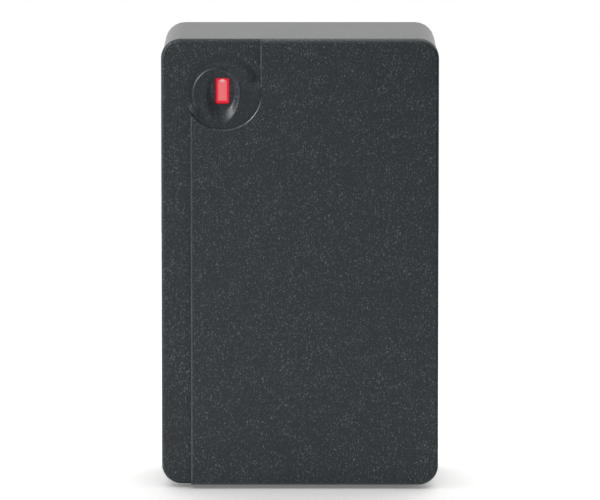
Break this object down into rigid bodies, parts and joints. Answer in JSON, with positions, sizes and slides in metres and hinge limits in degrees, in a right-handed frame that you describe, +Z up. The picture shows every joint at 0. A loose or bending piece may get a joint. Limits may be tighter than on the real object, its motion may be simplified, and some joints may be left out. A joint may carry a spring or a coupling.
{
  "type": "card reader",
  "caption": "Wall-mounted proximity card reader: textured front cover with a raised panel and a round indicator eye, over a drafted housing with board, antenna and terminals.",
  "frame": {"origin": "centre of the back face, which lies against the wall", "axes": "+Z up, +Y into the wall, +X to the right seen from the front; the front faces -Y"},
  "size_m": [0.07, 0.0244, 0.116],
  "materials": {
    "cover_plastic": "moulded, fine grained texture on the face",
    "housing_plastic": "moulded, smooth satin",
    "red_lens": "moulded clear red, polished",
    "gasket_rubber": "closed-cell foam rubber, die cut",
    "plate_film": "blank printed film, matt",
    "board_laminate": "green solder mask over glass laminate",
    "natural_nylon": "moulded natural nylon",
    "enamelled_copper": "enamelled winding wire",
    "component_metal": "drawn component cans",
    "chip_epoxy": "moulded black epoxy",
    "green_plastic": "moulded green nylon",
    "plated_steel": "zinc plated steel",
    "insert_brass": "turned brass"
  },
  "bodies": {
    "housing": {"back_housing": "housing_plastic", "wall_gasket": "gasket_rubber", "rating_plate": "plate_film", "circuit_board": "board_laminate", "coil_former": "natural_nylon", "antenna_coil": "enamelled_copper", "led_emitter": "component_metal", "controller_chip": "chip_epoxy", "radio_chip": "chip_epoxy", "voltage_regulator": "chip_epoxy", "crystal": "component_metal", "tuning_capacitor": "green_plastic", "filter_capacitor": "component_metal", "bulk_capacitor": "component_metal", "power_inductor": "chip_epoxy", "sounder": "chip_epoxy", "terminal_block": "green_plastic", "tamper_body": "chip_epoxy", "tamper_spring": "plated_steel", "board_screw_1": "plated_steel", "board_screw_2": "plated_steel", "board_screw_3": "plated_steel", "board_screw_4": "plated_steel", "clamp_screw_1": "plated_steel", "clamp_screw_2": "plated_steel", "clamp_screw_3": "plated_steel", "clamp_screw_4": "plated_steel", "clamp_screw_5": "plated_steel", "clamp_screw_6": "plated_steel", "clamp_screw_7": "plated_steel", "clamp_screw_8": "plated_steel"},
    "cover": {"front_cover": "cover_plastic", "led_lens": "red_lens", "thread_insert": "insert_brass"},
    "clip": {"captive_clip": "plated_steel"},
    "screw": {"security_screw": "plated_steel"},
    "plunger": {"tamper_plunger": "natural_nylon"}
  },
  "joints": [
    {"name": "cover_swing", "type": "hinge", "parent": "housing", "child": "cover", "pos_m": [0, -0.02195, 0.0579], "axis": [-1, 0, 0], "range_deg": [0, 30]},
    {"name": "tamper_travel", "type": "slide", "parent": "housing", "child": "plunger", "axis": [0, -1, 0], "range_m": [0, 0.0015]},
    {"name": "screw_backs_out", "type": "slide", "parent": "cover", "child": "clip", "axis": [0, 0, -1], "range_m": [0, 0.0009]},
    {"name": "screw_turn", "type": "hinge", "parent": "clip", "child": "screw", "pos_m": [0, -0.0178, -0.0566], "axis": [0, 0, -1], "range_deg": [0, 720]}
  ],
  "couplings": [
    {"joint": "tamper_travel", "follows": "cover_swing", "m_per_rad": 0.002864},
    {"joint": "screw_turn", "follows": "screw_backs_out", "rad_per_m": 13960}
  ]
}
